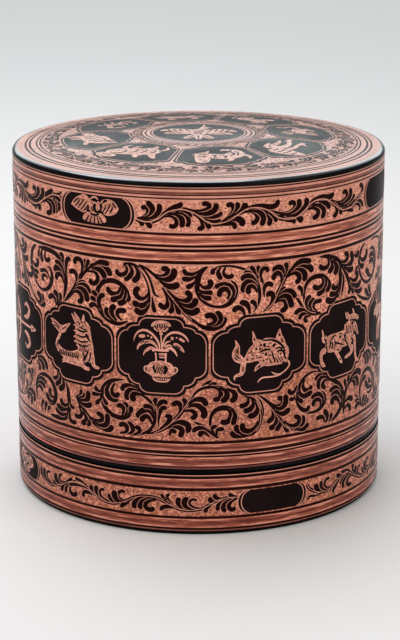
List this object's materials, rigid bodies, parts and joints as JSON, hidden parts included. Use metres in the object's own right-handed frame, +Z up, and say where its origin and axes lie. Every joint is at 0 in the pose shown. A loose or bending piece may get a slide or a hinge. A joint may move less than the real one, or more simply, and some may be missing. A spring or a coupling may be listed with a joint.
{
  "type": "lacquer betel box",
  "caption": "Round lacquered box with a deep slip-over lid, a drum with a decorated collar, and trays that stack on the drum's mouth inside the lid.",
  "frame": {"origin": "middle of the foot ring's underside, on the table", "axes": "+Z up along the box's axis; -Y towards the viewer of the picture"},
  "size_m": [0.2, 0.2, 0.1925],
  "materials": {
    "engraved_lacquer": "polished lacquer with engraved lines",
    "black_lacquer": "polished black lacquer",
    "maroon_lacquer": "polished dark red lacquer",
    "red_lacquer": "satin red lacquer"
  },
  "bodies": {
    "base": {"drum_wall": "red_lacquer", "drum_lip": "black_lacquer", "drum_floor": "red_lacquer", "collar": "engraved_lacquer", "shoulder_bead": "black_lacquer", "foot_ring": "black_lacquer"},
    "lower_tray": {"lower_tray_wall": "red_lacquer", "lower_tray_lip": "black_lacquer", "lower_tray_spigot": "black_lacquer", "lower_tray_floor": "red_lacquer"},
    "upper_tray": {"upper_tray_wall": "red_lacquer", "upper_tray_lip": "black_lacquer", "upper_tray_spigot": "black_lacquer", "upper_tray_floor": "red_lacquer"},
    "lid": {"lid_wall": "engraved_lacquer", "lid_mouth_rim": "maroon_lacquer", "lid_top_hoop": "black_lacquer", "lid_top_panel": "engraved_lacquer"}
  },
  "joints": [
    {"name": "lower_tray_lift", "type": "slide", "parent": "base", "child": "lower_tray", "axis": [0, 0, 1], "range_m": [0, 0.08]},
    {"name": "upper_tray_lift", "type": "slide", "parent": "lower_tray", "child": "upper_tray", "axis": [0, 0, 1], "range_m": [0, 0.08]},
    {"name": "lid_lift", "type": "slide", "parent": "upper_tray", "child": "lid", "axis": [0, 0, 1], "range_m": [0, 0.165]}
  ]
}
